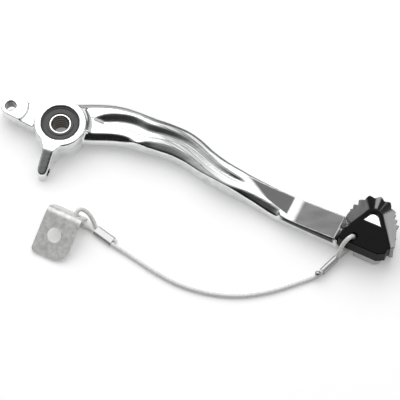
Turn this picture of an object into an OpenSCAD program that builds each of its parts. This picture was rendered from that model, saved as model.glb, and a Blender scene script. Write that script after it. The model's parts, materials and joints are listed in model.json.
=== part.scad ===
// Rear brake pedal of a motocross bike, lying on its inner side.
// The pivot axis is Z, with the origin where that axis leaves the underside of the boss.
// Sizes are millimetres. X runs from the pivot towards the tip, Z towards the rider's boot side.

/* [Pivot boss] */
// Outer radius of the pivot boss
boss_r = 15.2; // [14.4:0.1:17]
// Length of the pivot boss along the pivot axis
boss_h = 16; // [14.5:0.5:20]
// Chamfer round the top and bottom rims of the boss
boss_rim = 0.6; // [0.3:0.1:1]
// Radius of the main bore that holds the bushes
bush_bore_r = 8; // [7.7:0.1:8.6]
// Radius of the seal recess at each end
seal_r = 11; // [10.4:0.1:12]
// Depth of the seal recess on the boot side
outer_recess = 4.2; // [3.6:0.1:5]
// Depth of the seal recess on the frame side
inner_recess = 3; // [2.4:0.1:3.6]
// How far the boot side seal lies below the rim
outer_seal_sink = 0.9; // [0.5:0.1:1.4]
// How far the frame side seal lies above the underside
inner_seal_sink = 0.4; // [0.2:0.1:0.8]
// Radius of the concave blend ring from the boss down to the arm
blend_r = 19.3; // [18.5:0.1:20]

/* [Pivot collar and bushes] */
// Radius of the collar's bore, for the pivot bolt
collar_bore_r = 5; // [4:0.1:5.4]
// Outer radius of the collar
collar_r = 6.5; // [6.2:0.1:7]
// How far the collar's boot side face lies below the boss rim
collar_sink = 1.6; // [1:0.1:2.4]
// Chamfer on the collar's boot side face
collar_chamfer = 0.4; // [0.2:0.1:0.6]
// Running clearance between the collar and the bushes and seals
running_gap = 0.05; // [0.02:0.01:0.08]
// Grease gap between the two bushes
grease_gap = 0.6; // [0.3:0.1:1.2]

/* [Push rod lug] */
// Place of the lug's hole, towards the tip
lug_x = -29; // [-33:0.5:-26]
// Place of the lug's hole, across the arm
lug_y = 13; // [10:0.5:16]
// Radius of the hole for the clevis pin
lug_hole_r = 3.15; // [3:0.05:3.4]
// Outer radius of the lug's end
lug_end_r = 5.7; // [5.2:0.1:6.5]
// Radius of the raised pad round the hole
lug_pad_r = 10; // [8:0.1:11]
// Height of the lug's underside above the boss underside
lug_z = 4; // [2:0.5:5]
// Thickness of the lug at its pad
lug_t = 8; // [6:0.5:9]
// Step from the pad down to the web
lug_step = 0.8; // [0.3:0.1:1.2]
// Half width of the lug's web where it meets the boss
lug_root = 8.4; // [7:0.1:10]

/* [Spring spur] */
// Direction of the spur from the pivot axis, in degrees
spur_dir = -110.5; // [-116:0.5:-106]
// Distance from the pivot axis to the centre of the spur's round end
spur_reach = 28.2; // [26:0.1:31]
// Radius of the spur's round end
spur_end_r = 3; // [2.6:0.1:3.6]
// Half width of the spur where it leaves the boss
spur_root = 5.4; // [4.8:0.1:6.5]
// Distance from the pivot axis at which the ramp on the spur starts
spur_ramp = 18.6; // [17.5:0.1:20]
// Slope of the ramp in degrees
spur_slope = 35; // [28:1:42]
// Radius of the return spring's hole
spring_hole_r = 2.2; // [1.8:0.1:2.4]
// Distance from the pivot axis to the spring hole
spring_hole_reach = 26.6; // [25:0.1:28]
// Height of the spring hole above the underside
spring_hole_z = 4; // [3.5:0.1:4.6]

/* [Arm] */
// Offset of the arm's first straight from the pivot axis
arm_offset = 3.1; // [1:0.1:4]
// Length of the first straight, from the pivot axis
arm_lead = 26; // [24:0.5:30]
// Radius of the first bend of the centreline
bend_a_r = 75; // [65:1:90]
// Angle of the first bend in degrees
bend_a = 45; // [38:1:50]
// Radius of the second bend of the centreline
bend_b_r = 115; // [95:1:135]
// Angle of the second bend in degrees
bend_b = 19; // [12:1:24]
// Length of the last straight, the flat bar
arm_tail = 53.3; // [44:0.5:66]
// How far the arm's ribs lie below the boss rim
arm_drop = 3; // [2:0.1:4]
// Depth of the long pocket between the ribs
pocket_depth = 3.4; // [2:0.1:4]
// Chamfer along the arm's lower edges
lower_chamfer = 1.3; // [0.6:0.1:2]
// Slope of the polished facet at the end of the bar, in degrees
facet_slope = 50; // [40:1:60]

/* [Tongue and tip block] */
// Thickness of the tongue that carries the tip block
tongue_t = 7; // [6:0.5:8]
// How far the tongue ends short of the tip block's far face
tongue_setback = 2.2; // [1.8:0.1:4]
// Thickness of the tip block
block_t = 10; // [9:0.5:12]
// Half width of the tip block towards the boot's pressing side
block_north = 8.1; // [7.6:0.1:8.6]
// Half width of the tip block on its other side
block_south = 7.9; // [7.6:0.1:8.6]
// Distance from the bar's end to the block's east face
block_end = 30.2; // [29.8:0.1:31]
// Rounding chamfer along the block's top south edge
block_edge = 1.6; // [1:0.1:2]
// Thickness of the block's arched rim, along the pivot axis
rim_t = 1.4; // [1:0.1:3]
// Width of the block's arched rim
rim_w = 2.2; // [1.8:0.1:2.6]
// Radius of the hole for the safety cable
tether_hole_r = 2.3; // [2.2:0.1:2.6]
// Radius of the tip screws' threads
tip_screw_r = 2.5; // [2:0.1:2.6]
// Radius of the tip screws' countersunk heads
tip_screw_head_r = 4.4; // [4:0.1:4.6]
// Depth of the tip screws in the block
tip_screw_bite = 6.5; // [5:0.5:7]
// Radial clearance of the tip screws in the tongue
tip_screw_gap = 0.1; // [0.05:0.05:0.3]

/* [Serrated claw] */
// Radius of the claw's crest, at its inner face
crest_r = 5.4; // [5:0.1:6]
// Distance from the bar's end to the crest's centre
crest_x = 15.2; // [14.6:0.1:15.8]
// Distance from the bar's centreline to the crest's centre
crest_y = 11.8; // [11:0.1:13]
// Angle of the claw's near leg in degrees
near_leg = 65.7; // [62:0.5:70]
// Angle of the claw's far leg in degrees
far_leg = 54.5; // [50:0.5:57]
// Thickness of the claw's sheet
claw_t = 1.8; // [1.4:0.1:2.2]
// Width of the claw's web, along the pivot axis
claw_web = 12; // [10:0.5:12.5]
// How far the flanges flare outwards
flare = 6.4; // [5:0.1:7]
// How far the flanges rise beyond the web
flare_rise = 3.6; // [2:0.1:3.9]
// Height of the teeth
tooth_h = 1.6; // [1:0.1:2.4]
// Radius of the rivets that hold the claw
rivet_r = 1.5; // [1.2:0.1:1.8]
// Radius of the rivets' heads
rivet_head_r = 2.4; // [2.1:0.1:2.6]
// Length of the rivets in the block
rivet_bite = 3.5; // [2.5:0.5:4]

/* [Safety cable] */
// Diameter of the coated cable
cable_d = 2.5; // [2:0.1:2.6]
// Wall of the ferrules
ferrule_wall = 0.35; // [0.25:0.05:0.4]
// Clearance of the cable in the ferrules
ferrule_gap = 0.05; // [0.02:0.01:0.1]
// Radius of the bead on the cable's dead end
bead_r = 1.8; // [1.5:0.1:2]

/* [Frame bracket] */
// Width of the bracket
bracket_w = 21; // [19:0.5:24]
// Thickness of the bracket's sheet
bracket_t = 2; // [1.5:0.1:2.2]
// Length of the bolt leg from the fold
bolt_leg = 27.5; // [25:0.5:30]
// Length of the cable leg from the fold
cable_leg = 16.5; // [15.5:0.5:18]
// Radius of the hole for the frame bolt
bolt_hole_r = 4.3; // [3.2:0.1:4.5]
// Radius of the hole for the cable eye
eye_hole_r = 2.4; // [2.2:0.1:2.8]
// Inside radius of the fold
fold_r = 1.5; // [1:0.1:2]

/* [Hidden] */

$fn = 96;

// Levels along the pivot axis
arm_top = boss_h - arm_drop;
lug_top = lug_z + lug_t;
block_top = tongue_t + block_t;
collar_top = boss_h - collar_sink;
outer_floor = boss_h - outer_recess;
bush_len = (outer_floor - inner_recess - grease_gap) / 2;
claw_mid = block_top - claw_web / 2 - 0.4;
tongue_len = block_end - tongue_setback;
rivet_z = tongue_t + block_t / 2;

// Lengths along the arm's centreline
bend_a_len = bend_a_r * bend_a * PI / 180;
bend_b_len = bend_b_r * bend_b * PI / 180;
arm_len = arm_lead + bend_a_len + bend_b_len + arm_tail;
arm_root = 1;
bar_run = 5;
arm_step = 2.4;
tail_heading = bend_b - bend_a;

// Half widths of the arm along its centreline: [distance, towards the boot's side, away from it]
arm_width = [[0, 11.9, 11.8], [9, 12.3, 11.8], [20, 12.5, 12], [31, 11.8, 12.2], [42, 9.9, 12.4], [52, 8.4, 12.3],
             [62, 8.7, 11.4], [74, 9.5, 9.4], [90, 8.9, 7.2], [112, 9, 5.4], [124, 8.5, 5.8],
             [140, 7.8, 7.6], [180, 8.2, 8.2]];
// Top below the ribs' level and underside of the arm: [distance, drop, underside]
arm_level = [[0, 0, 3], [26, 0, 3], [48, 0, 1.4], [64, 0, 0.6], [90, 0, 0.6], [110, 0.1, 1.4],
             [122, 0.8, 1.8], [144, 2.7, 1.6], [150, 2.7, 1.6], [164, 1.6, 1], [180, 0.6, 0.8]];
// Scalloped bevel on the side away from the boot: [distance, width, fall]
south_bevel = [[0, 3.4, 4], [30, 3.5, 4.2], [41, 2.8, 3.2], [47.5, 0.7, 0.8], [53, 2.8, 2.4],
               [60, 3.9, 2.8], [68, 4.2, 3.2], [80, 4, 3.6], [90, 3.3, 3.2], [100, 1.6, 1.5],
               [109, 1, 1], [119, 2.8, 2.8], [131, 4, 3.8], [141, 3.8, 3.6], [144, 0.8, 0.8],
               [180, 0.8, 0.8]];
// Bevel on the boot's side: [distance, width, fall]
north_bevel = [[0, 5.4, 3], [40, 5.2, 3], [52, 5, 3], [64, 3.8, 2.8], [80, 3.2, 2.5],
               [110, 3, 2.2], [130, 2, 1.5], [143, 0.8, 0.8], [180, 0.8, 0.8]];
// Long pocket: [distance, offset of its middle, half width, share of the full depth]
pocket = [[18, 0.7, 0.5, 0], [21, 0.7, 1.6, 0.3], [25, 0.6, 3.2, 0.95], [32, 0.3, 4.2, 1],
          [41, -0.6, 4.8, 1], [51, -2.4, 4.4, 0.9], [60, -1.2, 3.8, 0.8], [69, 0.7, 3.1, 0.75],
          [79, 1.6, 2.9, 0.7], [91, 1.5, 2.4, 0.65], [104, 1.5, 1.9, 0.6], [114, 1.6, 1.4, 0.5],
          [118, 1.6, 0.6, 0], [180, 1.6, 0.5, 0]];

// Tip block, in the frame of the bar's end: X along the bar, Y across it
block_west = 2.5;
west_knee = -3.4;
tether_hole = [10, -3.6];
tether_slot = [9.9, -3.9];
tether_slot_r = 2.9;
slot_turn = 19;
tip_screws_at = [[15.5, 0.6], [22.5, -2.6]];
claw_start_y = 2.9;
claw_end_y = -1.5;

// Route of the safety cable between its two ferrules, resting on the surface
cable_route = [[156.5, -78.8, 1.7], [152.2, -83.1, 1.7], [147.8, -87.5, 1.7], [144.4, -89.8, 1.5],
               [140.5, -91.4, 1.3], [135.5, -93.2, 1.3], [130, -95.2, 1.3], [124.5, -97.1, 1.3],
               [119, -98.7, 1.3], [113, -100, 1.3], [107.5, -100.9, 1.3], [102, -101.3, 1.3],
               [96.5, -101.3, 1.3], [91, -100.8, 1.3], [85.5, -99.9, 1.3], [80, -98.6, 1.3],
               [74, -96.8, 1.3], [68.5, -94.6, 1.3], [63, -91.9, 1.3], [57.5, -88.6, 1.3],
               [52, -85, 1.3], [46.5, -81.1, 1.3], [41.5, -77.5, 1.3], [36.5, -74, 1.4],
               [33, -71.8, 1.6], [29.8, -69.4, 1.7], [24.6, -65.4, 1.7], [19.5, -61.4, 1.7]];
// Eye through the tip block's hole, back through its ferrule to the dead end
pedal_eye_route = [[156.5, -78.8, 1.7], [158.7, -76.9, 1.9], [161.1, -75.1, 2.7],
                   [163.3, -73.4, 4.3], [164.8, -72.1, 6.8], [165.2, -71.8, 10],
                   [165.2, -71.8, 14], [164.9, -72, 17.2], [163.7, -73, 19], [161.9, -74.4, 19.2],
                   [160, -75.9, 17.6], [158.7, -77, 14.6], [157.8, -77.7, 11.2],
                   [157.4, -78, 8], [157, -78.3, 6], [156.7, -78.6, 4.8], [156.2, -79.1, 4.3],
                   [155.2, -80.1, 4.3],
                   [151.5, -83.8, 4.3], [147.8, -87.5, 4.3], [146.8, -88.5, 4.7],
                   [146.1, -89.1, 5.2]];
// Eye through the bracket's small hole, back through its ferrule
bracket_eye_route = [[19.5, -61.4, 1.7], [17.3, -60.2, 2.1], [14.5, -59.6, 3.1],
                     [12, -58.7, 4.4], [10.5, -57.3, 6], [10.1, -55.8, 7.4], [10.4, -54.1, 9.2],
                     [11.6, -52.4, 10], [13.6, -51.9, 9.5], [16, -52.6, 7.9], [18.2, -54.4, 5.8],
                     [19.7, -56.6, 3.8], [20.6, -58.6, 2.4], [21.8, -60, 1.7], [26.2, -63.35, 1.7],
                     [31.4, -67.4, 1.7], [32.6, -68.3, 1.7]];
cable_sides = 8;
strand_pitch = cable_d + 0.1;
pedal_ferrule_at = [148, -87.3, 1.7];
pedal_ferrule_dir = 45;
pedal_ferrule_len = 11.4;
bracket_ferrule_at = [30.6, -68.4, 1.7];
bracket_ferrule_dir = 142.2;
bracket_ferrule_len = 11.8;
bracket_at = [4.3, -56.4];
bracket_dir = -116;
bolt_hole_inset = 13;
bolt_hole_offset = -1;
small_corner = 2.5;
large_corner = 8;
eye_hole_offset = 5;
eye_hole_reach = 8.5;

function deg(rad) = rad * 180 / PI;
function unit(v) = v / norm(v);

// Points of an arc about c from angle a to angle b
function arc(c, r, a, b, n = 12) =
    [for (i = [0 : n]) let (t = a + (b - a) * i / n) [c[0] + r * cos(t), c[1] + r * sin(t)]];

// Smooth curve through the rows of a table: column k at distance s
function row_of(table, s, i = 0) =
    i >= len(table) - 2 || s < table[i + 1][0] ? i : row_of(table, s, i + 1);
function slope(table, i, k) =
    let (a = max(i - 1, 0), b = min(i + 1, len(table) - 1))
    (table[b][k] - table[a][k]) / (table[b][0] - table[a][0]);
function along(table, s, k) =
    let (i = row_of(table, s), a = table[i], b = table[i + 1], w = b[0] - a[0],
         t = min(1, max(0, (s - a[0]) / w)))
    a[k] * (2 * t ^ 3 - 3 * t ^ 2 + 1) + b[k] * (3 * t ^ 2 - 2 * t ^ 3)
    + slope(table, i, k) * w * (t ^ 3 - 2 * t ^ 2 + t)
    + slope(table, i + 1, k) * w * (t ^ 3 - t ^ 2);

// Centreline of the arm: a straight, two opposite bends and a straight
function heading(s) =
    s <= arm_lead ? 0
    : s <= arm_lead + bend_a_len ? -deg((s - arm_lead) / bend_a_r)
    : -bend_a + min(bend_b, deg((s - arm_lead - bend_a_len) / bend_b_r));
bend_a_end = [arm_lead + bend_a_r * sin(bend_a), arm_offset - bend_a_r * (1 - cos(bend_a))];
function bend_b_point(h) =
    bend_a_end + bend_b_r * [sin(h) + sin(bend_a), cos(bend_a) - cos(h)];
function centre(s) =
    s <= arm_lead ? [s, arm_offset]
    : s <= arm_lead + bend_a_len
    ? [arm_lead - bend_a_r * sin(heading(s)), arm_offset - bend_a_r * (1 - cos(heading(s)))]
    : bend_b_point(heading(s))
      + max(0, s - arm_len + arm_tail) * [cos(tail_heading), sin(tail_heading)];

// Cross-section of the arm at distance s, as [offset towards the boot, height] points
function section(s) =
    let (north = along(arm_width, s, 1), south = along(arm_width, s, 2),
         top = arm_top - along(arm_level, s, 1), low = along(arm_level, s, 2),
         sw = along(south_bevel, s, 1), sf = along(south_bevel, s, 2),
         nw = along(north_bevel, s, 1), nf = along(north_bevel, s, 2),
         depth = pocket_depth * max(0.05, along(pocket, s, 3)),
         mid = along(pocket, s, 1), half = max(0.4, along(pocket, s, 2)),
         north_wall = min(1.1 * depth, 1.1 * half), south_wall = min(0.5 * depth, 0.7 * half))
    [[lower_chamfer - south, low], [-south, low + lower_chamfer], [-south, top - sf],
     [0.2 * sw - south, top - 0.7 * sf], [sw - south, top], [mid - half, top],
     [mid - half + south_wall, top - depth], [mid + half - north_wall, top - depth],
     [mid + half, top], [north - nw, top], [north - 0.38 * nw, top - 0.4 * nf],
     [north, top - nf], [north, low + lower_chamfer], [north - lower_chamfer, low]];

// Solid through a row of closed rings with equally many points; cap lists the faces of its ends
module loft(rings, cap) {
    n = len(rings[0]);
    m = len(rings);
    end = is_undef(cap) ? [[for (j = [0 : n - 1]) j]] : cap;
    sides = [for (i = [0 : m - 2], j = [0 : n - 1])
        let (a = i * n + j, b = i * n + (j + 1) % n)
        each [[a, b, b + n], [a, b + n, a + n]]];
    ends = [for (f = end) each [[for (j = [len(f) - 1 : -1 : 0]) f[j]], [for (j = f) (m - 1) * n + j]]];
    polyhedron(points = [for (r = rings) each r], faces = concat(sides, ends), convexity = 6);
}

// Tube of round section along a route, with its rings turned about one steady side direction
module tube(route, r, side) {
    last = len(route) - 1;
    loft([for (i = [0 : last])
        let (t = unit(route[min(i + 1, last)] - route[max(i - 1, 0)]),
             u = unit(side - (side * t) * t), v = cross(u, t))
        [for (k = [0 : cable_sides - 1])
            let (a = 360 * k / cable_sides) route[i] + r * (cos(a) * u + sin(a) * v)]]);
}

// Places the tip's pieces in the frame of the bar's end
module at_tip() {
    translate(concat(centre(arm_len), 0)) rotate([0, 0, tail_heading]) children();
}

// Lug for the push rod: a web that runs into the boss, and a raised pad round the hole
module lug() {
    hole = [lug_x, lug_y];
    away = atan2(lug_y, lug_x);
    across = [-sin(away), cos(away)];
    web = concat(arc(hole, lug_end_r, away - 90, away + 90, 24), [lug_root * across, -lug_root * across]);
    translate([0, 0, lug_z]) linear_extrude(lug_t - lug_step) polygon(web);
    translate([0, 0, lug_z]) linear_extrude(lug_t) intersection() {
        polygon(web);
        translate(hole) circle(lug_pad_r);
    }
}

// Spur for the return spring: its top falls away in a ramp towards a round end
module spur() {
    top_at_ramp = boss_h;
    rotate([0, 0, spur_dir]) difference() {
        linear_extrude(boss_h) polygon(concat(
            arc([spur_reach, 0], spur_end_r, -90, 90, 16),
            [[spur_ramp, spur_root * 0.62], [boss_r - 3, spur_root + 1.4],
             [boss_r - 3, -spur_root - 1.4], [spur_ramp, -spur_root * 0.62]]));
        translate([spur_ramp, -boss_r, top_at_ramp]) rotate([0, spur_slope, 0])
            cube([2 * spur_reach, 2 * boss_r, boss_h]);
        translate([spring_hole_reach, 0, spring_hole_z]) rotate([90, 0, 0])
            cylinder(h = 4 * spur_root, r = spring_hole_r, center = true);
    }
}

// Boss with its chamfered rims
module boss() {
    rotate_extrude() polygon([[0, 0], [boss_r - boss_rim, 0], [boss_r, boss_rim],
        [boss_r, boss_h - boss_rim], [boss_r - boss_rim, boss_h], [0, boss_h]]);
}

// Concave blend from the boss down to the arm's ribs, kept between the arm's bevels
module boss_blend() {
    drop = arm_drop - boss_rim;
    low = arm_top - 1.5;
    out = blend_r - boss_r;
    hollow = [for (i = [1 : 7]) let (t = i / 8)
        [boss_r + out * t, arm_top + drop * (1 - t) ^ 2]];
    intersection() {
        rotate_extrude() polygon(concat([[boss_r - 1, low], [blend_r, low], [blend_r, arm_top]],
            [for (i = [len(hollow) - 1 : -1 : 0]) hollow[i]],
            [[boss_r, arm_top + drop], [boss_r - 1, arm_top + drop]]));
        translate([boss_r / 2, arm_offset - 8.5, low])
            cube([blend_r, 15.4, arm_drop + 2]);
    }
}

// Tongue under the tip block, slotted for the safety cable and drilled for the tip screws
module tongue() {
    corner = 4;
    north = block_north - 1.4;
    south = block_south - 0.4;
    neck = claw_start_y - 0.4;
    slot = arc(tether_slot, tether_slot_r, 180 - slot_turn, -slot_turn, 16);
    difference() {
        linear_extrude(tongue_t) polygon(concat([[-1, -south]],
            [[slot[0][0] - (slot[0][1] + south) * tan(slot_turn), -south]], slot,
            [[slot[16][0] - (slot[16][1] + south) * tan(slot_turn), -south],
             [tongue_len - corner, -south]],
            arc([tongue_len - corner, corner - south], corner, -90, 0, 8),
            [[tongue_len, far_y(tongue_len + 0.4)], [far_x(north) - 0.4, north],
             [leg_x(north) + 0.2, north], [leg_x(neck) + 0.2, neck], [-1, neck]]));
        for (p = tip_screws_at) translate([p[0], p[1], 0]) {
            translate([0, 0, -1]) cylinder(h = tongue_t + 2, r = tip_screw_r + tip_screw_gap);
            translate([0, 0, -0.01])
                cylinder(h = head_h + 0.02, r1 = tip_screw_head_r + tip_screw_gap + 0.01,
                         r2 = tip_screw_r + tip_screw_gap);
        }
    }
}
head_h = 2.4;
arm_end_top = arm_top - along(arm_level, arm_len, 1);

// Room cut off the bar's end: the polished facet, and the seat of the block and the claw
module bar_end_cut() {
    translate([0, -2 * boss_r, arm_end_top]) rotate([0, facet_slope, 0])
        cube([4 * block_t, 4 * boss_r, 4 * block_t]);
    translate([0, 0, tongue_t - 0.4]) linear_extrude(2 * block_t) polygon([
        [block_west - 0.2, -boss_r], [block_west - 0.2, west_knee],
        [leg_x(claw_start_y) - 0.2, claw_start_y - 0.2], [block_west + 0.5, claw_start_y - 0.1],
        [block_west + 0.5, boss_r], [boss_r, boss_r], [boss_r, -boss_r]]);
}

// End faces of the arm, fanned from the two points of its underside
section_cap = concat([for (k = [1 : 5]) [0, k, k + 1]], [[0, 6, 13]], [for (k = [6 : 11]) [13, k, k + 1]]);

// Forged arm along its centreline, cut back at the bar's end
module arm() {
    stations = ceil((arm_len + bar_run - arm_root) / arm_step);
    difference() {
        loft([for (i = [0 : stations])
            let (s = arm_root + (arm_len + bar_run - arm_root) * i / stations, c = centre(s), h = heading(s))
            [for (p = section(s)) [c[0] - p[0] * sin(h), c[1] + p[0] * cos(h), p[1]]]],
            section_cap);
        at_tip() bar_end_cut();
    }
}

module pedal_arm() {
    color("gainsboro") difference() {
        union() {
            arm();
            boss();
            boss_blend();
            lug();
            spur();
            at_tip() tongue();
        }
        translate([0, 0, -1]) cylinder(h = boss_h + 2, r = bush_bore_r);
        translate([0, 0, outer_floor]) cylinder(h = boss_h, r = seal_r);
        translate([0, 0, -boss_h]) cylinder(h = boss_h + inner_recess, r = seal_r);
        translate([lug_x, lug_y, 0]) cylinder(h = boss_h, r = lug_hole_r);
    }
}

// Plain ring about the pivot axis
module ring(inner, outer, low, high) {
    translate([0, 0, low]) difference() {
        cylinder(h = high - low, r = outer);
        translate([0, 0, -1]) cylinder(h = high - low + 2, r = inner);
    }
}

module outer_bush() {
    color("darkgoldenrod") ring(collar_r + running_gap, bush_bore_r, outer_floor - bush_len, outer_floor);
}

module inner_bush() {
    color("darkgoldenrod") ring(collar_r + running_gap, bush_bore_r, inner_recess, inner_recess + bush_len);
}

module pivot_collar() {
    color("silver") rotate_extrude() polygon([[collar_bore_r, 0], [collar_r, 0],
        [collar_r, collar_top - collar_chamfer], [collar_r - collar_chamfer, collar_top],
        [collar_bore_r + collar_chamfer, collar_top], [collar_bore_r, collar_top - collar_chamfer]]);
}

// Lip seal: a flat ring with a shallow groove between its lip and its rim
module seal(low, high, open_up) {
    lip = collar_r + running_gap;
    groove = [lip + 1.1, seal_r - 1.1];
    depth = 0.5;
    difference() {
        ring(lip, seal_r, low, high);
        translate([0, 0, open_up ? high - depth : low - 1])
            ring(groove[0], groove[1], 0, depth + 1);
    }
}

module outer_seal() {
    color("dimgray") seal(outer_floor, boss_h - outer_seal_sink, true);
}

module inner_seal() {
    color("dimgray") seal(inner_seal_sink, inner_recess, false);
}

// X of a leg of the claw's arch at height y, on the near or the far leg, moved inwards by w
function leg_x(y, w = 0) =
    crest_x - crest_r * sin(near_leg) - (crest_y + crest_r * cos(near_leg) - y) / tan(near_leg)
    + w / sin(near_leg);
function far_x(y, w = 0) =
    crest_x + crest_r * sin(far_leg) + (crest_y + crest_r * cos(far_leg) - y) / tan(far_leg)
    - w / sin(far_leg);
// Height y at which the far leg passes x
function far_y(x) =
    crest_y + crest_r * cos(far_leg) - (x - crest_x - crest_r * sin(far_leg)) * tan(far_leg);

// The arch of the claw as a plan outline above height y, moved inwards by w
function arch(y, w) = concat([[far_x(y, w), y]],
    arc([crest_x, crest_y], crest_r - w, 90 - far_leg, 90 + near_leg, 16), [[leg_x(y, w), y]]);

module tip_block() {
    corner = 2.6;
    foot = [[block_west, -block_south], [block_end - 1.6 * corner, -block_south],
            [block_end, corner - block_south], [block_end, claw_end_y - 1]];
    color("black") at_tip() difference() {
        union() {
            translate([0, 0, tongue_t]) linear_extrude(block_t) polygon(concat(foot,
                [[far_x(claw_end_y), claw_end_y], [far_x(block_north), block_north],
                 [leg_x(block_north), block_north], [leg_x(claw_start_y), claw_start_y],
                 [block_west, west_knee]]));
            translate([0, 0, block_top - rim_t]) linear_extrude(rim_t) difference() {
                polygon(arch(claw_end_y, 0));
                polygon(arch(block_north, rim_w));
            }
        }
        translate([-block_end, -block_south - block_edge, block_top]) rotate([45, 0, 0])
            cube([3 * block_end, 2 * block_edge, 2 * block_edge], center = false);
        translate([tether_hole[0], tether_hole[1], 0]) cylinder(h = 2 * block_top, r = tether_hole_r);
        for (p = tip_screws_at) translate([p[0], p[1], 0])
            cylinder(h = tongue_t + tip_screw_bite, r = tip_screw_r);
        rivets() cylinder(h = rivet_bite, r = rivet_r);
    }
}

// Places a rivet's parts at both legs, with their Z pointing into the block from the web
module rivets() {
    near_y = block_north - 1.7;
    far_y = (claw_end_y + block_north) / 2;
    translate([leg_x(near_y), near_y, rivet_z]) rotate([0, 90, near_leg - 90]) children();
    translate([far_x(far_y), far_y, rivet_z]) rotate([0, 90, 270 - far_leg]) children();
}

module claw_rivets() {
    head_h = 1.1;
    color("silver") at_tip() rivets() {
        translate([0, 0, -claw_t]) cylinder(h = claw_t + rivet_bite, r = rivet_r);
        translate([0, 0, -claw_t - head_h]) cylinder(h = head_h, r1 = rivet_head_r - 0.8, r2 = rivet_head_r);
    }
}

// Path of the claw's inner face: the near leg, the crest and the far leg
near_len = (crest_y + crest_r * cos(near_leg) - claw_start_y) / sin(near_leg);
crest_turn = near_leg + far_leg;
far_len = (crest_y + crest_r * cos(far_leg) - claw_end_y) / sin(far_leg);
near_teeth = 3;
crest_teeth = 4;
far_teeth = 3;
steps_a_tooth = 4;
toothed_share = 0.52;

// One station of the claw: [x, y, direction of the flare, width of the flare, part of the lower one]
function tooth(k) = tooth_h * [0, 0.55, 1, 0.55][k % steps_a_tooth];
near_stations = [for (k = [0 : near_teeth * steps_a_tooth - 1])
    let (y = claw_start_y + near_len * sin(near_leg) * k / (near_teeth * steps_a_tooth))
    [leg_x(y), y, 90 + near_leg, flare - 1 - max(0, 1 - k / 3) + (k > 4 ? tooth(k + 2) : 0), min(1, max(0, (k - 7) / 2))]];
crest_stations = [for (k = [0 : crest_teeth * steps_a_tooth])
    let (a = 90 + near_leg - crest_turn * k / (crest_teeth * steps_a_tooth))
    [crest_x + crest_r * cos(a), crest_y + crest_r * sin(a), a, flare - 0.8 + tooth(k + 2), 1]];
far_stations = [for (k = [1 : far_teeth * steps_a_tooth])
    let (d = far_len * toothed_share * k / (far_teeth * steps_a_tooth), y = crest_y + crest_r * cos(far_leg) - d * sin(far_leg))
    [far_x(y), y, 90 - far_leg, flare - 0.9 + tooth(k), 1]];
taper_stations = [for (k = [1 : 6])
    let (d = far_len * (toothed_share + (1 - toothed_share) * k / 6), y = crest_y + crest_r * cos(far_leg) - d * sin(far_leg))
    [far_x(y), y, 90 - far_leg, claw_t + 0.6 + (flare - claw_t - 1.5) * (1 - k / 6), 1]];

// Channel section of the claw, as [outwards, height] points; the lower flange is g times as wide
function channel(f, g) =
    let (low = claw_mid - claw_web / 2 + 3.2 * (1 - g), high = claw_mid + claw_web / 2,
         wide = claw_t + 0.4 + (f - claw_t - 0.4) * g, rise = flare_rise * f / (flare + tooth_h),
         fall = flare_rise * wide / (flare + tooth_h) * g, lift = claw_t * 0.9)
    [[0, low], [0, high], [0.5, high + 0.35], [f, high + rise], [f, high + rise - lift],
     [claw_t + 0.3, high - 0.9], [claw_t, high - 1.6], [claw_t, low + 1.8],
     [claw_t + 0.2, low + 1.4], [wide, low - fall + lift], [wide, low - fall], [0.5, low - 0.35 * g]];

module tip_claw() {
    color("slategray") at_tip() difference() {
        loft([for (st = concat(near_stations, crest_stations, far_stations, taper_stations))
            [for (p = channel(st[3], st[4]))
                [st[0] + p[0] * cos(st[2]), st[1] + p[0] * sin(st[2]), p[1]]]]);
        rivets() translate([0, 0, -2 * claw_t]) cylinder(h = 4 * claw_t, r = rivet_r);
    }
}

module tip_screws() {
    socket = 3;
    color("dimgray") at_tip() for (p = tip_screws_at) translate([p[0], p[1], 0]) difference() {
        union() {
            cylinder(h = tongue_t + tip_screw_bite, r = tip_screw_r);
            cylinder(h = head_h, r1 = tip_screw_head_r, r2 = tip_screw_r);
        }
        translate([0, 0, -1]) cylinder(h = 1 + head_h * 0.7, d = socket, $fn = 6);
    }
}

module tether_cable() {
    color("lightgray") tube(cable_route, cable_d / 2, [0, 0, 1]);
}

module pedal_eye() {
    color("lightgray") tube(pedal_eye_route, cable_d / 2, [0.64, -0.77, 0]);
}

module bracket_eye() {
    color("lightgray") tube(bracket_eye_route, cable_d / 2, [0.55, -0.25, 0.8]);
}

// Crimped oval sleeve over two strands: X runs along it, and the second strand lies beside or above
module ferrule(length, above) {
    bore = cable_d / 2 + ferrule_gap;
    outer = bore + ferrule_wall;
    half = strand_pitch / 2;
    rotate([90, 0, 90]) linear_extrude(length) rotate([0, 0, above ? 90 : 0]) difference() {
        polygon(concat(arc([half, 0], outer, -90, 90, 16), arc([-half, 0], outer, 90, 270, 16)));
        polygon(concat(arc([half, 0], bore, -90, 90, 16), arc([-half, 0], bore, 90, 270, 16)));
    }
}

module pedal_ferrule() {
    color("silver") translate(pedal_ferrule_at + [0, 0, strand_pitch / 2])
        rotate([0, 0, pedal_ferrule_dir]) ferrule(pedal_ferrule_len, true);
}

module bracket_ferrule() {
    color("silver") translate(bracket_ferrule_at)
        rotate([0, 0, bracket_ferrule_dir]) ferrule(bracket_ferrule_len, false);
}

module dead_end_bead() {
    color("silver") translate(pedal_eye_route[len(pedal_eye_route) - 1] + [-0.6, -0.5, 0.4])
        sphere(bead_r, $fn = 32);
}

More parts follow.
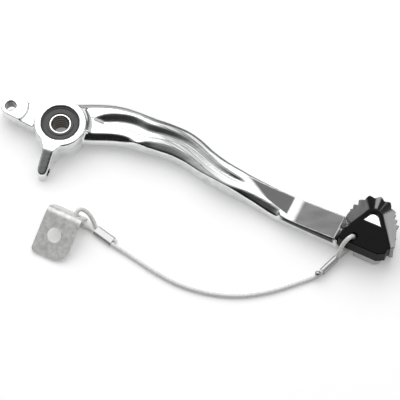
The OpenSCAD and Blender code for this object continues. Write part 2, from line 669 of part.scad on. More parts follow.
// Folded bracket, standing on the ends of both its legs
module frame_bracket() {
    tilt = atan2(cable_leg - bracket_t, bolt_leg - bracket_t);
    height = bolt_leg * sin(tilt) + bracket_t * cos(tilt);
    outer = fold_r + bracket_t;
    half = bracket_w / 2;
    hole_x = bolt_leg - bolt_hole_inset;
    corner = 4;
    color("lightgray") translate([bracket_at[0], bracket_at[1], height])
        rotate([0, tilt, bracket_dir]) {
        translate([0, 0, -bracket_t]) difference() {
            linear_extrude(bracket_t) polygon(concat([[outer, -half]],
                arc([bolt_leg - small_corner, small_corner - half], small_corner, -90, 0, 8),
                arc([bolt_leg - large_corner, half - large_corner], large_corner, 0, 90, 16),
                [[outer, half]]));
            translate([hole_x, bolt_hole_offset, -1]) cylinder(h = bracket_t + 2, r = bolt_hole_r);
        }
        translate([outer, 0, -outer]) rotate([90, -90, 0]) rotate_extrude(angle = 90)
            translate([fold_r, -half]) square([bracket_t, bracket_w]);
        difference() {
            rotate([0, -90, 180]) linear_extrude(bracket_t) polygon(concat([[-outer, half]],
                arc([corner - cable_leg, half - corner], corner, 90, 180, 8),
                arc([corner - cable_leg, corner - half], corner, 180, 270, 8), [[-outer, -half]]));
            translate([-1, eye_hole_offset, -eye_hole_reach]) rotate([0, 90, 0])
                cylinder(h = bracket_t + 2, r = eye_hole_r);
        }
    }
}

pedal_arm();
outer_bush();
inner_bush();
pivot_collar();
outer_seal();
inner_seal();
tip_block();
tip_claw();
tip_screws();
claw_rivets();
tether_cable();
pedal_eye();
pedal_ferrule();
dead_end_bead();
bracket_eye();
bracket_ferrule();
frame_bracket();
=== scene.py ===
import json
import math

import bmesh
import bpy
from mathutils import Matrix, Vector


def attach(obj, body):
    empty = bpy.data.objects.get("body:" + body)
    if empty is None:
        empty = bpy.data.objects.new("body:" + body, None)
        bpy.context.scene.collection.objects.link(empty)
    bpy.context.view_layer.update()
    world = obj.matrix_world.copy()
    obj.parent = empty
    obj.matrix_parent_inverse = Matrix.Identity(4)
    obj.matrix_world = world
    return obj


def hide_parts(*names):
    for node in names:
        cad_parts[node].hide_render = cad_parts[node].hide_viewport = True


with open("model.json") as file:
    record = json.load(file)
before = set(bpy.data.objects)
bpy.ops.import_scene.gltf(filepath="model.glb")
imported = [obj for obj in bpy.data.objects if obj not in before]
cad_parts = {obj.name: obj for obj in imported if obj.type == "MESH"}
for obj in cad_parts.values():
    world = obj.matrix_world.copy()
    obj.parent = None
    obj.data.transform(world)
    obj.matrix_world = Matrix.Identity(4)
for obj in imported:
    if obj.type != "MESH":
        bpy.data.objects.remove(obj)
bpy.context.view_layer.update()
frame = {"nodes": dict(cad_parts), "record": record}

NODES = frame["nodes"]
SLOTS = {entry["node"]: entry["material_slot"] for entry in frame["record"]["subparts"]}

# Named lengths are in millimetres, as in the part's source
MM = 0.001

# The bar and the tip: their heading below +X, and where the tip's own frame starts
BAR_TURN = math.radians(26)
TIP_AT = (157.8, -64.3)
# The claw's arch in the tip's frame: centre of its crest, inner radius and the slopes of its legs
CREST_AT = (15.2, 11.8)
CREST_R = 5.4
NEAR_LEG = math.radians(65.7)
FAR_LEG = math.radians(54.5)
# The arm's two bends: centre and radius of each, and the point where they meet
FIRST_BEND = ((26, -71.9), 75)
SECOND_BEND = ((160.35, 62.45), 115)
BENDS_MEET = (79.03, -18.87)
MEET_HEADING = math.radians(45)
# Drilled holes: the lug's, and the spring's, which runs across the ear
LUG_HOLE_AT = (-29, 13)
SPRING_HOLE_AT = (-9.3155, -24.916)
SPRING_HOLE_Z = 4
BESIDE_SPRING_HOLE = (0.35021, 0.93667, 0)
WIRE_R = 1.25

# Soft edges of finishes and of painted shade and reflections, each from its start to its end. Along the
# bar's heading:
WALL_START = (136, 139)
WEDGE_END = (139.3, 140.8)
BAR_START = (142.2, 146.2)
BLOCK_FACE = (169.4, 170.4)
UNDER_BLOCK = (171.5, 173)
# along X:
BENDS_START = (44, 60)
BENDS_END = (80, 112)
# above the floor:
WALL_FOOT = (6.6, 7.6)
# and around an axis:
LUG_HOLE_EDGE = (3.4, 3.7)
SPRING_HOLE_EDGE = (2.2, 2.5)
SPRING_HOLE_END = (4.4, 5)
COLLAR_BORE_EDGE = (5.1, 5.5)
SEAL_SHADOW_EDGE = (9.8, 10.4)
# The wedge's slanting edges: slope, place and softness
WEDGE_EDGES = ((0.243, 40.4, 0.7), (0.54, 75.8, 3))


# Camera, from the photo: it looks along +Y from 64.5 degrees above the floor
CAMERA_AT = Vector((79.85, -561.87, 1091.10)) * MM
CAMERA_TARGET = Vector((79.85, -45.25, 8.0)) * MM
cam_data = bpy.data.cameras.new("camera")
cam = bpy.data.objects.new("camera", cam_data)
bpy.context.scene.collection.objects.link(cam)
cam.location = CAMERA_AT
cam.rotation_mode = "QUATERNION"
cam.rotation_quaternion = (CAMERA_TARGET - CAMERA_AT).to_track_quat("-Z", "Y")
cam_data.sensor_width = 36
cam_data.lens = 191.16
cam_data.clip_start = 0.02
cam_data.clip_end = 20
bpy.context.scene.camera = cam
bpy.context.scene.view_settings.view_transform = "Standard"


# Safety cable: one wire from its dead end through both eyes, on given points
PEDAL_EYE = [(156.5, -78.8, 1.7), (158.7, -76.9, 1.9), (161.1, -75.1, 2.7), (163.3, -73.4, 4.3),
             (164.8, -72.1, 6.8), (165.2, -71.8, 10), (165.2, -71.8, 14), (164.9, -72, 17.2),
             (163.7, -73, 19), (161.9, -74.4, 19.2), (160, -75.9, 17.6), (158.7, -77, 14.6),
             (157.8, -77.7, 11.2), (157.4, -78, 8), (157, -78.3, 6), (156.7, -78.6, 4.8),
             (156.2, -79.1, 4.3), (155.2, -80.1, 4.3), (151.5, -83.8, 4.3), (147.8, -87.5, 4.3),
             (146.8, -88.5, 4.7), (146.1, -89.1, 5.2)]
RUN = [(156.5, -78.8, 1.7), (152.2, -83.1, 1.7), (147.8, -87.5, 1.7), (144.4, -89.8, 1.5),
       (140.5, -91.4, 1.3), (135.5, -93.2, 1.3), (130, -95.2, 1.3), (124.5, -97.1, 1.3),
       (119, -98.7, 1.3), (113, -100, 1.3), (107.5, -100.9, 1.3), (102, -101.3, 1.3),
       (96.5, -101.3, 1.3), (91, -100.8, 1.3), (85.5, -99.9, 1.3), (80, -98.6, 1.3),
       (74, -96.8, 1.3), (68.5, -94.6, 1.3), (63, -91.9, 1.3), (57.5, -88.6, 1.3), (52, -85, 1.3),
       (46.5, -81.1, 1.3), (41.5, -77.5, 1.3), (36.5, -74, 1.4), (33, -71.8, 1.6),
       (29.8, -69.4, 1.7), (24.6, -65.4, 1.7), (19.5, -61.4, 1.7)]
BRACKET_EYE = [(19.5, -61.4, 1.7), (17.3, -60.2, 2.1), (14.5, -59.6, 3.1), (12, -58.7, 4.4),
               (10.5, -57.3, 6), (10.1, -55.8, 7.4), (10.4, -54.1, 9.2), (11.6, -52.4, 10),
               (13.6, -51.9, 9.5), (16, -52.6, 7.9), (18.2, -54.4, 5.8), (19.7, -56.6, 3.8),
               (20.6, -58.6, 2.4), (21.8, -60, 1.7), (26.2, -63.4, 1.7), (31.4, -67.4, 1.7),
               (32.6, -68.3, 1.7)]
ROUTE = [Vector(p) * MM for p in PEDAL_EYE[::-1] + RUN[1:] + BRACKET_EYE[1:]]


def smooth_route(points, steps=5):
    """Points on a smooth curve through the given ones."""
    out = []
    for i in range(len(points) - 1):
        a, b = points[i], points[i + 1]
        before = points[max(i - 1, 0)]
        after = points[min(i + 2, len(points) - 1)]
        ta, tb = (b - before) / 2, (after - a) / 2
        for k in range(steps):
            t = k / steps
            out.append(a * (2 * t**3 - 3 * t**2 + 1) + b * (3 * t**2 - 2 * t**3)
                       + ta * (t**3 - 2 * t**2 + t) + tb * (t**3 - t**2))
    out.append(points[-1])
    return out


cable_line = smooth_route(ROUTE)
curve = bpy.data.curves.new("safety_cable", "CURVE")
curve.dimensions = "3D"
# The bevel is a unit circle, and each point's radius gives the wire its real size
curve.bevel_depth = 1
curve.bevel_resolution = 4
curve.use_fill_caps = True
spline = curve.splines.new("POLY")
spline.points.add(len(cable_line) - 1)
for point, place in zip(spline.points, cable_line):
    point.co = (*place, 1)
    point.radius = WIRE_R * MM
spline.use_smooth = True
cable = bpy.data.objects.new("safety_cable", curve)
bpy.context.scene.collection.objects.link(cable)
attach(cable, "pedal")
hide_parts("tether_cable", "pedal_eye", "bracket_eye")


def grey(level):
    return (level, level, level)


def principled(tree):
    return next(n for n in tree.nodes if n.type == "BSDF_PRINCIPLED")


# Sockets of a colour Mix node
FACTOR = 0
COLOUR_A = 6
COLOUR_B = 7
COLOUR_OUT = 2


def math_node(tree, operation, a, b=0.0):
    """One math node, from numbers or sockets."""
    made = tree.nodes.new("ShaderNodeMath")
    made.operation = operation
    for i, value in enumerate((a, b)):
        if isinstance(value, (int, float)):
            made.inputs[i].default_value = value
        else:
            tree.links.new(value, made.inputs[i])
    return made.outputs["Value"]


class Shader:
    """Adds nodes to one material. Places are taken in the part's own frame."""

    def __init__(self, name):
        self.mat = bpy.data.materials.new(name)
        self.mat.use_nodes = True
        self.tree = self.mat.node_tree
        self.bsdf = principled(self.tree)
        self.place = self.node("ShaderNodeTexCoord").outputs["Object"]

    def node(self, kind, **facts):
        made = self.tree.nodes.new(kind)
        for key, value in facts.items():
            setattr(made, key, value)
        return made

    def link(self, source, sink):
        self.tree.links.new(source, sink)

    def put(self, **values):
        """Sets constants on the shader's own sockets."""
        for key, value in values.items():
            self.bsdf.inputs[key.replace("_", " ")].default_value = value

    def drive(self, **sources):
        """Links sockets to the shader's own sockets."""
        for key, source in sources.items():
            self.link(source, self.bsdf.inputs[key.replace("_", " ")])

    def axes(self, vector):
        made = self.node("ShaderNodeSeparateXYZ")
        self.link(vector, made.inputs["Vector"])
        return made.outputs["X"], made.outputs["Y"], made.outputs["Z"]

    def noise(self, scale, detail=3.0, turn=0.0, stretch=None, source=None):
        """Noise on the part's frame, turned and stretched there, or on a vector of its own."""
        made = self.node("ShaderNodeTexNoise")
        made.inputs["Scale"].default_value = scale
        made.inputs["Detail"].default_value = detail
        source = source or self.place
        if stretch:
            mapping = self.node("ShaderNodeMapping")
            mapping.inputs["Rotation"].default_value = (0, 0, turn)
            mapping.inputs["Scale"].default_value = stretch
            self.link(source, mapping.inputs["Vector"])
            source = mapping.outputs["Vector"]
        self.link(source, made.inputs["Vector"])
        return made.outputs["Fac"]

    def span(self, value, low, high, start=0.0, end=1.0):
        """Goes from low to high while a value goes from start to end."""
        made = self.node("ShaderNodeMapRange")
        made.inputs["From Min"].default_value = start
        made.inputs["From Max"].default_value = end
        made.inputs["To Min"].default_value = low
        made.inputs["To Max"].default_value = high
        self.link(value, made.inputs["Value"])
        return made.outputs["Result"]

    def rise(self, value, start, end):
        """Goes from 0 to 1 while a value goes from start to end."""
        return self.span(value, 0, 1, start, end)

    def fall(self, value, start, end):
        """Goes from 1 to 0 while a value goes from start to end."""
        return self.span(value, 1, 0, start, end)

    def past(self, length, edge):
        """Mask of what lies past a soft edge given in millimetres."""
        return self.rise(length, edge[0] * MM, edge[1] * MM)

    def short_of(self, length, edge):
        """Mask of what lies short of a soft edge given in millimetres."""
        return self.fall(length, edge[0] * MM, edge[1] * MM)

    def math(self, operation, a, b=0.0):
        return math_node(self.tree, operation, a, b)

    def times(self, *factors):
        """Product of two or more sockets or numbers."""
        product = factors[0]
        for factor in factors[1:]:
            product = self.math("MULTIPLY", product, factor)
        return product

    def blend(self, fac, a, b):
        """Mixes two colours, each given as numbers or as a socket."""
        made = self.node("ShaderNodeMix", data_type="RGBA")
        self.link(fac, made.inputs[FACTOR])
        for i, colour in ((COLOUR_A, a), (COLOUR_B, b)):
            if isinstance(colour, (tuple, list)):
                made.inputs[i].default_value = (*colour, 1)
            else:
                self.link(colour, made.inputs[i])
        return made.outputs[COLOUR_OUT]

    def away(self, x, y):
        """Vector from a point given in millimetres, flattened along the pivot axis."""
        offset = self.node("ShaderNodeVectorMath", operation="SUBTRACT")
        self.link(self.place, offset.inputs[0])
        offset.inputs[1].default_value = (x * MM, y * MM, 0)
        flat = self.node("ShaderNodeVectorMath", operation="MULTIPLY")
        self.link(offset.outputs["Vector"], flat.inputs[0])
        flat.inputs[1].default_value = (1, 1, 0)
        return flat.outputs["Vector"]

    def far(self, x, y):
        """Distance from an upright axis through a point given in millimetres."""
        made = self.node("ShaderNodeVectorMath", operation="LENGTH")
        self.link(self.away(x, y), made.inputs[0])
        return made.outputs["Value"]

    def dot(self, vector, other):
        made = self.node("ShaderNodeVectorMath", operation="DOT_PRODUCT")
        self.link(vector, made.inputs[0])
        if isinstance(other, tuple):
            made.inputs[1].default_value = other
        else:
            self.link(other, made.inputs[1])
        return made.outputs["Value"]

    def normal(self):
        return self.node("ShaderNodeNewGeometry").outputs["Normal"]

    def bump(self, height, strength, depth):
        """Relief of a depth given in millimetres."""
        made = self.node("ShaderNodeBump")
        made.inputs["Strength"].default_value = strength
        made.inputs["Distance"].default_value = depth * MM
        self.link(height, made.inputs["Height"])
        self.link(made.outputs["Normal"], self.bsdf.inputs["Normal"])


def metal(name, colour, rough, scale=60, grain=0.0):
    """Bare or plated metal: slight drift of colour and roughness, and an optional fine grain."""
    darker = 0.92
    spread = 0.05
    s = Shader(name)
    s.put(Metallic=1.0)
    drift = s.noise(scale, 4)
    s.drive(Base_Color=s.blend(drift, [c * darker for c in colour], colour),
            Roughness=s.span(drift, rough - spread, rough + spread))
    if grain:
        s.bump(s.noise(scale * 25, 2), 0.4, grain)
    return s.mat


def beside_bends(s):
    """Distance from the arm's centreline, through its two opposite bends."""
    first_at, first_r = FIRST_BEND
    second_at, second_r = SECOND_BEND
    first = s.math("SUBTRACT", s.far(*first_at), first_r * MM)
    second = s.math("SUBTRACT", second_r * MM, s.far(*second_at))
    past = s.dot(s.away(*BENDS_MEET), (math.cos(MEET_HEADING), -math.sin(MEET_HEADING), 0))
    turned = s.math("GREATER_THAN", past, 0)
    return s.math("ADD", s.times(turned, second), s.times(s.math("SUBTRACT", 1, turned), first))


def painted_bend_reflections(s, x):
    """Painted reflections of the bends: grey tones in fine lines along the arm."""
    drift_along = 35
    flow = s.node("ShaderNodeCombineXYZ")
    s.link(s.times(beside_bends(s), 1 / MM), flow.inputs["X"])
    s.link(s.times(x, drift_along), flow.inputs["Y"])
    lines = s.noise(0.9, 2, source=flow.outputs["Vector"])
    return s.blend(s.rise(lines, 0.38, 0.6), (0.15, 0.155, 0.155), grey(0.42))


def satin_and_reflection_wedge(s, along, across):
    """Mask of the wedge that leads up to the bar, satin and painted dark as reflection, between two
    slanting edges and its end.
    """
    wedge = s.short_of(along, WEDGE_END)
    for slope, start, soft in WEDGE_EDGES:
        slanted = s.math("ADD", across, s.times(along, slope))
        wedge = s.times(wedge, s.past(slanted, (start, start + soft)))
    return wedge


def spring_hole_shade(s, z):
    """Mask of the painted shade on the wall of the spring's hole, which runs across the ear."""
    beside = s.dot(s.away(*SPRING_HOLE_AT), BESIDE_SPRING_HOLE)
    above = s.math("SUBTRACT", z, SPRING_HOLE_Z * MM)
    off = s.math("SQRT", s.math("ADD", s.times(beside, beside), s.times(above, above)))
    return s.times(s.short_of(off, SPRING_HOLE_EDGE), s.short_of(s.far(*SPRING_HOLE_AT), SPRING_HOLE_END))


def polished_alloy():
    """Polished forging with satin roughness on the flat bar and its wedge, which are painted dark grey as
    reflection; painted reflections through the bends, painted dark reflection on its edges and on the top
    of the bar's wall, and painted shade on the tongue's wall under the block and in its drilled holes.
    """
    s = Shader("polished_alloy")
    s.put(Metallic=1.0)
    drift = s.noise(45, 4)
    x, y, z = s.axes(s.place)
    up = s.axes(s.normal())[2]
    # Metres along the bar's heading, and across it towards the boot's side
    along = s.math("SUBTRACT", s.times(x, math.cos(BAR_TURN)), s.times(y, math.sin(BAR_TURN)))
    across = s.math("ADD", s.times(x, math.sin(BAR_TURN)), s.times(y, math.cos(BAR_TURN)))
    before_block = s.short_of(along, BLOCK_FACE)

    # Polishing lines, and painted reflections through the bends
    lines = s.noise(420, 4, math.radians(22), (0.05, 1, 0.6))
    bright = s.blend(s.rise(lines, 0.3, 0.66), (0.7, 0.71, 0.715), (0.9, 0.905, 0.91))
    bend_reflection_mask = s.times(s.past(x, BENDS_START), s.short_of(x, BENDS_END), s.rise(up, 0.82, 0.95))
    bright = s.blend(bend_reflection_mask, bright, painted_bend_reflections(s, x))

    # A satin wedge leads up to the satin bar, with a bright band between them. Both are painted dark grey
    # as a painted reflection of the dark surroundings, the bar in a cloudy gradient.
    wedge = satin_and_reflection_wedge(s, along, across)
    bar = s.times(s.past(along, BAR_START), before_block)
    satin_and_reflection = s.times(s.math("MAXIMUM", bar, wedge), s.rise(up, 0.93, 0.985))
    cloud = s.noise(70, 5, BAR_TURN, (0.6, 1.6, 1))
    painted_dark_reflection = s.blend(wedge, s.blend(cloud, grey(0.06), grey(0.22)), grey(0.1))
    colour = s.blend(satin_and_reflection, bright, painted_dark_reflection)

    # The top of the bar's wall is painted dark, a painted reflection of the dark surroundings
    facing = s.rise(s.dot(s.normal(), (-math.sin(BAR_TURN), -math.cos(BAR_TURN), 0)), 0.4, 0.7)
    painted_wall_reflection = s.times(facing, s.past(z, WALL_FOOT), before_block, s.past(along, WALL_START))
    colour = s.blend(painted_wall_reflection, colour, grey(0.03))

    # The tongue's wall under the block is painted darker than the arm, as painted shade
    under_block_shade = s.times(s.past(along, UNDER_BLOCK), s.fall(up, 0.3, 0.6))
    colour = s.blend(under_block_shade, colour, (0.5, 0.49, 0.48))

    # Convex edges are painted dark grey as a painted reflection of the dark surroundings
    edge_shade_depth = 0.72
    painted_edge_reflection = s.span(s.node("ShaderNodeNewGeometry").outputs["Pointiness"], 0, edge_shade_depth, 0.525, 0.565)
    colour = s.blend(s.times(s.fall(up, 0.995, 0.9995), painted_edge_reflection), colour, grey(0.1))

    # Drilled holes are painted dark, as painted shade in them
    lug_hole_shade = s.times(s.short_of(s.far(*LUG_HOLE_AT), LUG_HOLE_EDGE), s.fall(up, 0.4, 0.7))
    colour = s.blend(lug_hole_shade, colour, grey(0.22))
    colour = s.blend(spring_hole_shade(s, z), colour, grey(0.05))

    satin_rough = 0.26
    s.drive(Base_Color=colour,
            Roughness=s.math("ADD", s.span(drift, 0.07, 0.15), s.times(satin_and_reflection, satin_rough)))
    s.bump(s.noise(160, 3), 0.3, 0.06)
    return s.mat


def seal_rubber():
    """Moulded rubber, its outer ring painted near black as the recess wall's shadow."""
    s = Shader("seal_rubber")
    drift = s.noise(400, 3)
    face = s.blend(drift, grey(0.045), (0.075, 0.075, 0.074))
    recess_shadow = s.past(s.far(0, 0), SEAL_SHADOW_EDGE)
    s.drive(Base_Color=s.blend(recess_shadow, face, grey(0.004)), Roughness=s.span(drift, 0.4, 0.6))
    s.bump(drift, 0.3, 0.05)
    return s.mat


def black_coating():
    """Gloss black coating with little reflection of its own."""
    s = Shader("black_alloy")
    drift = s.noise(90, 4)
    s.drive(Base_Color=s.blend(drift, grey(0.002), grey(0.006)),
            Roughness=s.span(drift, 0.2, 0.32))
    s.put(Specular_IOR_Level=0.06)
    s.bump(s.noise(500, 3), 0.2, 0.04)
    return s.mat


# Painted reflections round the claw's bend, dark bands and bright streaks: share of the turn, grey level
CLAW_PAINTED_REFLECTIONS = [(0.36, 0.36), (0.385, 0.03), (0.448, 0.05), (0.46, 0.75), (0.487, 0.7), (0.5, 0.03),
              (0.535, 0.04), (0.545, 0.25), (0.556, 0.03), (0.61, 0.04), (0.64, 0.34)]
CLAW_BEND_AT = (176.6, -60.4)
CLAW_MIDDLE_AT = (175.2, -64.0)


def painted_claw_reflections(s):
    """Painted reflections: grey level by the direction from the middle of the claw's bend."""
    from_bend = s.away(*CLAW_BEND_AT)
    direction = s.math("ARCTAN2", s.dot(from_bend, (0.899, -0.438, 0)), s.dot(from_bend, (0.438, 0.899, 0)))
    tone = s.node("ShaderNodeValToRGB")
    s.link(s.rise(direction, -math.pi, math.pi), tone.inputs["Fac"])
    ramp = tone.color_ramp
    while len(ramp.elements) < len(CLAW_PAINTED_REFLECTIONS):
        ramp.elements.new(0.5)
    for element, (at, level) in zip(ramp.elements, CLAW_PAINTED_REFLECTIONS):
        element.position = at
        element.color = (level, level, level, 1)
    return tone.outputs["Color"]


def claw_coating():
    """Grey steel, grainy on its flanks, with painted reflections round the bend, dark with a bright streak,
    and painted light on the faces turned in to its middle.
    """
    s = Shader("claw_steel")
    s.put(Metallic=0.9)
    streak = s.noise(260, 5, math.radians(30), (1, 0.25, 1))
    tint = s.node("ShaderNodeMix", data_type="RGBA", blend_type="MULTIPLY")
    tint.inputs[FACTOR].default_value = 1
    s.link(painted_claw_reflections(s), tint.inputs[COLOUR_A])
    s.link(s.blend(streak, (0.35, 0.35, 0.36), grey(1)), tint.inputs[COLOUR_B])
    # Faces turned in towards the claw's middle are painted light grey, painted light for the window under
    # the arch
    outwards = s.node("ShaderNodeVectorMath", operation="NORMALIZE")
    s.link(s.away(*CLAW_MIDDLE_AT), outwards.inputs[0])
    outer = s.rise(s.dot(outwards.outputs["Vector"], s.normal()), -0.8, -0.6)
    s.drive(Base_Color=s.blend(outer, grey(0.9), tint.outputs[COLOUR_OUT]),
            Roughness=s.span(streak, 0.25, 0.42))
    s.bump(s.noise(700, 3), 0.5, 0.08)
    return s.mat


def coated_wire():
    """Stranded wire seen through a clear sheath."""
    s = Shader("coated_cable")
    strands = s.noise(900, 2, math.radians(38), (1, 0.3, 1))
    s.drive(Base_Color=s.blend(strands, (0.62, 0.62, 0.61), (0.92, 0.92, 0.91)))
    s.put(Metallic=0.0, Roughness=0.35, Coat_Weight=0.7, Coat_Roughness=0.15)
    s.bump(strands, 0.3, 0.06)
    return s.mat


def turned_collar():
    """Bright end face; the bore is painted dark as shade, with the marks of its turning."""
    turning_pitch = 2600
    s = Shader("collar_steel")
    s.put(Metallic=1.0, Roughness=0.24)
    z = s.axes(s.place)[2]
    rings = s.math("SINE", s.times(z, turning_pitch))
    shaded_bore = s.blend(s.rise(rings, -1, 1), (0.05, 0.045, 0.04), (0.24, 0.22, 0.2))
    face = s.blend(s.noise(200, 3), (0.78, 0.78, 0.77), (0.86, 0.86, 0.85))
    s.drive(Base_Color=s.blend(s.past(s.far(0, 0), COLLAR_BORE_EDGE), shaded_bore, face))
    return s.mat


def tumbled_steel():
    """Tumbled sheet with a mottled satin face."""
    s = Shader("bracket_steel")
    s.put(Metallic=0.5)
    mottle = s.noise(420, 6)
    s.drive(Base_Color=s.blend(s.rise(mottle, 0.3, 0.7), (0.58, 0.575, 0.56), (0.84, 0.835, 0.82)),
            Roughness=s.span(mottle, 0.42, 0.56))
    s.bump(mottle, 0.35, 0.1)
    return s.mat


MATERIALS = {
    "polished_alloy": polished_alloy(),
    "bush_bronze": metal("bush_bronze", (0.62, 0.45, 0.25), 0.38),
    "collar_steel": turned_collar(),
    "seal_rubber": seal_rubber(),
    "black_alloy": black_coating(),
    "claw_steel": claw_coating(),
    "fastener_steel": metal("fastener_steel", (0.26, 0.26, 0.27), 0.34),
    "coated_cable": coated_wire(),
    "ferrule_metal": metal("ferrule_metal", grey(0.44), 0.26, scale=300, grain=0.03),
    "bracket_steel": tumbled_steel(),
}


def dress(obj, slot):
    obj.data.materials.clear()
    obj.data.materials.append(MATERIALS[slot])


def tip_point(u, v, z):
    """A place in the tip's own frame, in the part's frame and in metres."""
    return Vector((TIP_AT[0] + u * math.cos(BAR_TURN) + v * math.sin(BAR_TURN),
                   TIP_AT[1] - u * math.sin(BAR_TURN) + v * math.cos(BAR_TURN), z)) * MM


def prism(mesh, outline, low, high):
    """Adds a closed prism to a bmesh; the heights of its top are a function of the place along the tip."""
    bottom = [mesh.verts.new(tip_point(u, v, low)) for u, v in outline]
    top = [mesh.verts.new(tip_point(u, v, high(u))) for u, v in outline]
    mesh.faces.new(bottom[::-1])
    mesh.faces.new(top)
    for i in range(len(outline)):
        k = (i + 1) % len(outline)
        mesh.faces.new((bottom[i], bottom[k], top[k], top[i]))


def arch_outline(foot, inside):
    """Outline within the claw's arch, above a height and inside its inner face."""
    x, y = CREST_AT
    left = (x - CREST_R * math.sin(NEAR_LEG) + inside / math.sin(NEAR_LEG)
            - (y + CREST_R * math.cos(NEAR_LEG) - foot) / math.tan(NEAR_LEG))
    right = (x + CREST_R * math.sin(FAR_LEG) - inside / math.sin(FAR_LEG)
             + (y + CREST_R * math.cos(FAR_LEG) - foot) / math.tan(FAR_LEG))
    # The round crest runs from the far leg over to the near leg
    start = math.pi / 2 - FAR_LEG
    sweep = FAR_LEG + NEAR_LEG
    steps = 14
    bend = [start + sweep * k / steps for k in range(steps + 1)]
    reach = CREST_R - inside
    return ([(right, foot)] + [(x + reach * math.cos(a), y + reach * math.sin(a)) for a in bend]
            + [(left, foot)])


def tongue_end(mesh):
    """The tongue's forged end, bright in the window of the tip block, and its shallow end facet."""
    inside = 0.6
    lower_foot, lower_top = 6.0, 6.9
    window_foot, window_top = 8.7, 15.2
    prism(mesh, arch_outline(lower_foot, inside), 0.3, lambda u: lower_top)
    prism(mesh, arch_outline(window_foot, inside), 3, lambda u: window_top)
    bar_end = [v.co.z / MM for v in mesh.verts
               if 165 < (v.co.x * math.cos(BAR_TURN) - v.co.y * math.sin(BAR_TURN)) / MM < 170.2]
    facet_top = max(bar_end) - 0.1
    facet_slope = 0.42
    facet = [(-0.6, -7.4), (2.1, -7.2), (2.1, -3.6), (4.4, 1.8), (4.2, 4.6), (-0.6, 7.4)]
    prism(mesh, facet, 5, lambda u: facet_top - facet_slope * max(u, 0))


def body_of(node):
    bodies = frame["record"]["behaviour"]["bodies"]
    return next((body for body, nodes in bodies.items() if node in nodes), "pedal")


def forged(node, voxel, rounds, more=None):
    """A copy of a CAD piece with its edges rounded off by remeshing and a little smoothing."""
    mesh = NODES[node].data.copy()
    skin = bpy.data.objects.new(node + "_skin", mesh)
    bpy.context.scene.collection.objects.link(skin)
    weld = bmesh.new()
    weld.from_mesh(mesh)
    bmesh.ops.remove_doubles(weld, verts=weld.verts, dist=1e-6)
    if more:
        more(weld)
    weld.to_mesh(mesh)
    weld.free()
    remesh = skin.modifiers.new("remesh", "REMESH")
    remesh.mode = "VOXEL"
    remesh.voxel_size = voxel * MM
    remesh.use_smooth_shade = True
    soften = skin.modifiers.new("soften", "SMOOTH")
    soften.factor = 0.5
    soften.iterations = rounds
    graph = bpy.context.evaluated_depsgraph_get()
    made = bpy.data.meshes.new_from_object(skin.evaluated_get(graph))
    skin.modifiers.clear()
    skin.data = made
    made.shade_smooth()
    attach(skin, body_of(node))
    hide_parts(node)
    dress(skin, SLOTS[node])


def crisp(node):
    """Smooth shading on a CAD piece, with its real edges kept sharp."""
    mesh = NODES[node].data
    mesh.shade_smooth()
    mesh.set_sharp_from_angle(angle=math.radians(30))


def rounded(node, width):
    """Narrow rounds on a CAD piece's edges."""
    soft = NODES[node].modifiers.new("rounded", "BEVEL")
    soft.width = width * MM
    soft.segments = 2
    soft.limit_method = "ANGLE"
    soft.angle_limit = math.radians(40)


dress(cable, "coated_cable")
forged("pedal_arm", 0.5, 9, tongue_end)
forged("tip_block", 0.3, 3)
forged("tip_claw", 0.28, 2)
for name, obj in NODES.items():
    dress(obj, SLOTS[name])
    crisp(name)
rounded("frame_bracket", 0.35)
rounded("bracket_ferrule", 0.25)
rounded("pedal_ferrule", 0.25)


# Studio: white floor, one large softbox overhead, a dark flag behind the camera. Sizes are in metres.
def plane(name, size, place, turn=(0, 0, 0)):
    mesh = bpy.data.meshes.new(name)
    w, h = size[0] / 2, size[1] / 2
    mesh.from_pydata([(-w, -h, 0), (w, -h, 0), (w, h, 0), (-w, h, 0)], [], [(0, 1, 2, 3)])
    obj = bpy.data.objects.new(name, mesh)
    obj.location = place
    obj.rotation_euler = turn
    bpy.context.scene.collection.objects.link(obj)
    return obj


def plain(name, level, rough):
    """A grey surface with a faint fleck."""
    s = Shader(name)
    s.drive(Base_Color=s.blend(s.noise(3, 2), grey(level * 0.99), grey(level)))
    s.put(Roughness=rough, Specular_IOR_Level=0.1)
    return s.mat


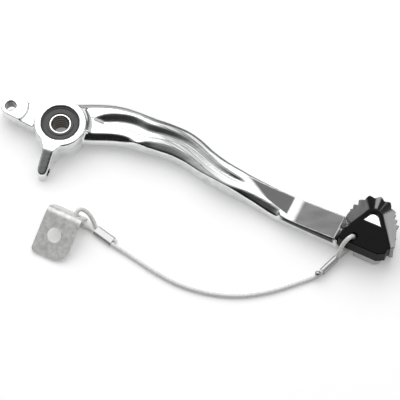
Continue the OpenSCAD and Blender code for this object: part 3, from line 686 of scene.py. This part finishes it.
def glow_when_seen(material, level):
    """Adds light of its own, for the camera and for reflections only."""
    tree = material.node_tree
    shader = principled(tree)
    shader.inputs["Emission Color"].default_value = (1, 1, 1, 1)
    ray = tree.nodes.new("ShaderNodeLightPath")
    seen = math_node(tree, "MAXIMUM", ray.outputs["Is Camera Ray"], ray.outputs["Is Glossy Ray"])
    tree.links.new(math_node(tree, "MULTIPLY", seen, level), shader.inputs["Emission Strength"])


def area_light(name, size, energy, place, turn):
    data = bpy.data.lights.new(name, "AREA")
    data.shape = "RECTANGLE"
    data.size, data.size_y = size
    data.energy = energy
    light = bpy.data.objects.new(name, data)
    light.location = place
    light.rotation_euler = turn
    bpy.context.scene.collection.objects.link(light)


floor = plane("floor", (6, 6), (0, 0, -0.00002))
white = plain("floor_white", 0.93, 0.9)
glow_when_seen(white, 0.2)
floor.data.materials.append(white)
flag = plane("flag", (3.4, 1.0), (0.08, -1.5, 0.51), (math.radians(90), 0, 0))
flag.data.materials.append(plain("flag_dark", 0.02, 0.95))

area_light("softbox", (2.2, 1.9), 19.5, (-0.3, 0.88, 1.34), (math.radians(-35), 0, 0))
area_light("side_card", (0.5, 0.4), 0.8, (1.28, -0.1, 0.42), (0, math.radians(70), 0))

# The room: pale above, greyer towards the floor and dark on the camera's side
world = bpy.data.worlds.new("studio")
bpy.context.scene.world = world
world.use_nodes = True
room = world.node_tree
backdrop = next(n for n in room.nodes if n.type == "BACKGROUND")
backdrop.inputs["Color"].default_value = (1, 1, 1, 1)
heading = room.nodes.new("ShaderNodeSeparateXYZ")
room.links.new(room.nodes.new("ShaderNodeTexCoord").outputs["Generated"], heading.inputs["Vector"])


def fade(axis, start, end, low, high):
    """Goes smoothly from low to high while the heading's axis goes from start to end."""
    made = room.nodes.new("ShaderNodeMapRange")
    made.interpolation_type = "SMOOTHSTEP"
    for key, value in (("From Min", start), ("From Max", end), ("To Min", low), ("To Max", high)):
        made.inputs[key].default_value = value
    room.links.new(heading.outputs[axis], made.inputs["Value"])
    return made.outputs["Result"]


upwards = fade("Z", 0.05, 0.55, 0.1, 0.66)
away_from_camera = fade("Y", -0.72, -0.24, 0.09, 1.0)
room.links.new(math_node(room, "MULTIPLY", upwards, away_from_camera), backdrop.inputs["Strength"])
